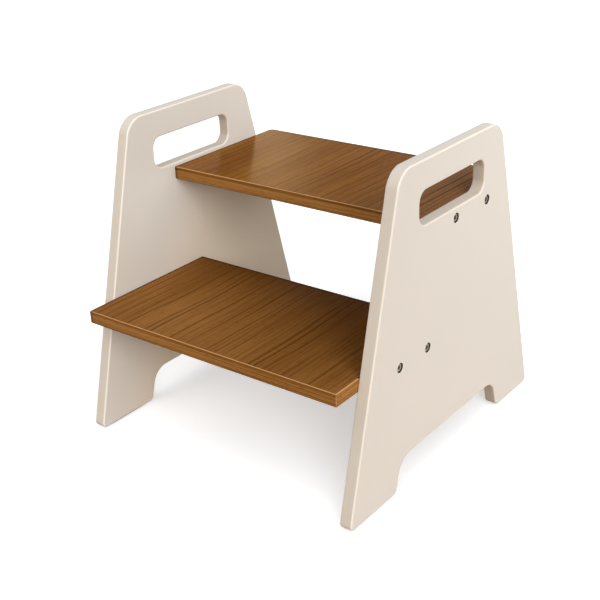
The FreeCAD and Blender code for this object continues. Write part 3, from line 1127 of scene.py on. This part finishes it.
def zinc_plate(finishes):
    """Bright zinc plate on steel: a soft grey metal with faint spangle and rubbed patches, with
    painted shade down the sides of a head."""
    material, add = new_material("zinc_plated_steel")
    place = add("ShaderNodeTexCoord").outputs["Object"]
    in_shade = add("ShaderNodeAttribute", attribute_name="in_shade").outputs["Fac"]
    spangle = add("ShaderNodeTexVoronoi", {"Vector": place, "Scale": 1 / (1.2 * MM)})
    bright = shaded(add, finishes.zinc[:], spangle, (0.88, 1.05))
    rub = add("ShaderNodeTexNoise", {"Vector": place, "Scale": 1 / (3 * MM), "Detail": 2.0})
    roughness = add("ShaderNodeMapRange", {"Value": rub, "To Min": 0.3, "To Max": 0.45})
    shader = add("ShaderNodeBsdfPrincipled", {
        "Base Color": coats(add, bright, (in_shade, finishes.head_side_shade)), "Metallic": 1.0,
        "Roughness": roughness,
    })
    add("ShaderNodeOutputMaterial", {"Surface": shader})
    return material


def beech_wood(finishes):
    """Bare turned beech: pale, with short darker flecks along the dowel."""
    material, add = new_material("bare_beech")
    place = add("ShaderNodeTexCoord").outputs["Object"]
    flecks = stretched_noise(add, place, (3, 0.5, 0.5), {"Detail": 2.0})
    tone = shaded(add, finishes.beech[:], flecks, (0.8, 1.1))
    shader = add("ShaderNodeBsdfPrincipled", {"Base Color": tone, "Roughness": 0.7})
    add("ShaderNodeOutputMaterial", {"Surface": shader})
    return material


def soft_rubber(finishes):
    """Moulded thermoplastic rubber: matt and dark with a fine pebbled skin."""
    material, add = new_material("pebbled_rubber")
    place = add("ShaderNodeTexCoord").outputs["Object"]
    pebbles = add("ShaderNodeTexVoronoi", {"Vector": place, "Scale": 1 / (0.8 * MM)})
    tone = shaded(add, finishes.rubber[:], pebbles, (1.15, 0.8))
    bump = add(
        "ShaderNodeBump", {"Height": pebbles, "Strength": 0.4, "Distance": 0.1 * MM}, invert=True
    )
    shader = add(
        "ShaderNodeBsdfPrincipled", {"Base Color": tone, "Roughness": 0.75, "Normal": bump}
    )
    add("ShaderNodeOutputMaterial", {"Surface": shader})
    return material


# Stage


def seen_directly(add):
    """One for what the camera, a reflection or a clear material sees, and zero for scattered
    light."""
    rays = add("ShaderNodeLightPath").outputs
    seen = rays["Is Camera Ray"]
    for other in ("Is Glossy Ray", "Is Transmission Ray"):
        seen = add("ShaderNodeMath", {0: seen, 1: rays[other]}, operation="MAXIMUM")
    return seen


def floor_material(stage):
    """White seamless paper that takes the shadow, with a white lift for what sees it directly.
    It throws a little less light back up at the stool than it shows, and warmer."""
    material, add = new_material("white_paper")
    seen = seen_directly(add)
    tone = coats(add, (*stage.floor_glow, 1), (seen, stage.floor_shown))
    paper = add("ShaderNodeBsdfDiffuse", {"Color": tone})
    lift = add("ShaderNodeMath", {0: seen, 1: stage.floor_lift}, operation="MULTIPLY")
    white = add("ShaderNodeEmission", {"Color": (1, 1, 1, 1), "Strength": lift})
    lifted = add("ShaderNodeAddShader", {0: paper, 1: white})
    add("ShaderNodeOutputMaterial", {"Surface": lifted})
    return material


def set_world(stage):
    """Even light from all round, and plain white where the camera or a reflection sees past the
    floor."""
    world = bpy.data.worlds.new("studio")
    bpy.context.scene.world = world
    add = empty_tree(world)
    light, white = (
        add("ShaderNodeBackground", {"Color": (1, 1, 1, 1), "Strength": strength})
        for strength in (stage.sky_level, 1.0)
    )
    mixed = add("ShaderNodeMixShader", {0: seen_directly(add), 1: light, 2: white})
    add("ShaderNodeOutputWorld", {"Surface": mixed})


def direction(azimuth, elevation):
    """The way to a lamp, in degrees. Azimuth turns from +X towards +Y."""
    turn, rise = math.radians(azimuth), math.radians(elevation)
    return Vector(
        (math.cos(turn) * math.cos(rise), math.sin(turn) * math.cos(rise), math.sin(rise))
    )


def hang(name, lamp, azimuth, elevation):
    """Puts a lamp in the scene that shines from a direction."""
    holder = bpy.data.objects.new(name, lamp)
    holder.rotation_euler = direction(azimuth, elevation).to_track_quat("Z", "Y").to_euler()
    bpy.context.scene.collection.objects.link(holder)
    return holder


def add_far_lamp(name, strength, azimuth, elevation, spread):
    """A broad soft lamp far away, as wide as its spread in degrees."""
    lamp = bpy.data.lights.new(name, "SUN")
    lamp.energy = strength * math.pi
    lamp.angle = math.radians(spread)
    return hang(name, lamp, azimuth, elevation)


def add_near_lamp(name, strength, azimuth, elevation, distance, width, height):
    """A soft box in metres, aimed at the stool's middle, whose light falls off along the stool."""
    lamp = bpy.data.lights.new(name, "AREA")
    lamp.shape = "RECTANGLE"
    lamp.size, lamp.size_y = width, height
    # As bright at the stool's middle as a far lamp of the same strength
    lamp.energy = strength * math.pi * math.pi * distance**2
    holder = hang(name, lamp, azimuth, elevation)
    aim = Vector((0, 0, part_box("right_side_panel")[1].z / 2))
    holder.location = aim + direction(azimuth, elevation) * distance
    return holder


def shine_on(lamps, name, pieces, state):
    """Lets lamps light these pieces alone (INCLUDE) or all but these (EXCLUDE)."""
    group = bpy.data.collections.new(name)
    for piece in pieces:
        group.objects.link(piece)
    for member in group.collection_objects:
        member.light_linking.link_state = state
    for lamp in lamps:
        lamp.light_linking.receiver_collection = group


def set_camera(stage):
    """The camera where the photograph was taken from."""
    turn, tilt, roll = stage.camera_turn, stage.camera_tilt, stage.camera_roll
    back = Vector(
        (math.sin(turn) * math.cos(tilt), -math.cos(turn) * math.cos(tilt), math.sin(tilt))
    )
    flat = Vector((math.cos(turn), math.sin(turn), 0))
    upright = back.cross(flat)
    right = flat * math.cos(roll) + upright * math.sin(roll)
    up = upright * math.cos(roll) - flat * math.sin(roll)
    camera = bpy.data.cameras.new("camera")
    camera.sensor_width = 36
    camera.lens = stage.lens
    camera.clip_end = 100
    holder = bpy.data.objects.new("camera", camera)
    turned = Matrix((right, up, back)).transposed().to_4x4()
    holder.matrix_world = Matrix.Translation(stage.camera_place) @ turned
    bpy.context.scene.collection.objects.link(holder)
    bpy.context.scene.camera = holder


class STOOL_OT_stage(bpy.types.Operator):
    """Sets the white floor, the soft lamps and the camera"""

    bl_idname = "stool.stage"
    bl_label = "Floor, lamps and camera"

    def execute(self, context):
        stage = context.scene.stool_stage
        bpy.ops.object.select_all(action="DESELECT")
        bpy.ops.mesh.primitive_plane_add(size=stage.floor_width)
        floor = named("floor")
        floor.data.materials.append(floor_material(stage))
        set_world(stage)
        # Each lamp's azimuth and elevation in degrees, then the spread of a far one in degrees, or
        # the distance, width and height of a near one in metres
        back_lamp = add_far_lamp("back_lamp", stage.back_level, 160, 15, 80)
        back_lamp.visible_glossy = False
        stool_lamps = [
            add_far_lamp("key_lamp", stage.key_level, -30, 22, 30),
            add_far_lamp("front_lamp", stage.front_level, -45, 50, 75),
            back_lamp,
            add_near_lamp("right_box", stage.right_level, 30, 35, 1.0, 0.5, 0.5),
            add_near_lamp("left_box", stage.left_level, 235, 40, 1.0, 0.5, 0.5),
        ]
        floor_lamps = [
            add_far_lamp("floor_lamp", stage.floor_key_level, -45, 22, 30),
            add_far_lamp("floor_fill", stage.floor_fill_level, -58, 52, 105),
        ]
        rim_strip = add_near_lamp("rim_strip", stage.rim_level, 130.3, 18.5, 4.0, 0.25, 1.0)
        rim_strip.data.color = stage.rim_colour
        upper_tread = [
            piece for piece in bpy.data.objects
            if piece.name.startswith("upper") and piece.name.endswith(("_veneered", "_edging"))
        ]
        shine_on(stool_lamps, "all_but_the_floor", [floor], "EXCLUDE")
        shine_on(floor_lamps, "floor_alone", [floor], "INCLUDE")
        shine_on([rim_strip], "upper_tread_alone", upper_tread, "INCLUDE")
        set_camera(stage)
        context.scene.view_settings.view_transform = "Standard"
        return {"FINISHED"}


class STOOL_PT_panel(bpy.types.Panel):
    """Lists the steps that build the stool"""

    bl_idname = "STOOL_PT_panel"
    bl_label = "Step stool"
    bl_space_type = "VIEW_3D"
    bl_region_type = "UI"
    bl_category = "Step stool"

    def draw(self, context):
        for step in STEPS:
            self.layout.operator(step.bl_idname)
        for group, kind in GROUPS.items():
            box = self.layout.box()
            for name in kind.__annotations__:
                box.prop(getattr(context.scene, group), name)


STEPS = (STOOL_OT_side_panels, STOOL_OT_treads, STOOL_OT_bolts, STOOL_OT_foot_pads, STOOL_OT_stage)
GROUPS = {"stool_sizes": StoolSizes, "stool_finishes": StoolFinishes, "stool_stage": StoolStage}
CLASSES = (*GROUPS.values(), *STEPS, STOOL_PT_panel)


def register():
    for entry in CLASSES:
        bpy.utils.register_class(entry)
    for name, group in GROUPS.items():
        setattr(bpy.types.Scene, name, PointerProperty(type=group))


def unregister():
    for name in GROUPS:
        delattr(bpy.types.Scene, name)
    for entry in reversed(CLASSES):
        bpy.utils.unregister_class(entry)


def main():
    """Builds the whole stool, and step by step."""
    register()
    bpy.ops.stool.side_panels()
    bpy.ops.stool.treads()
    bpy.ops.stool.bolts()
    bpy.ops.stool.foot_pads()
    bpy.ops.stool.stage()


if __name__ == "__main__":
    main()
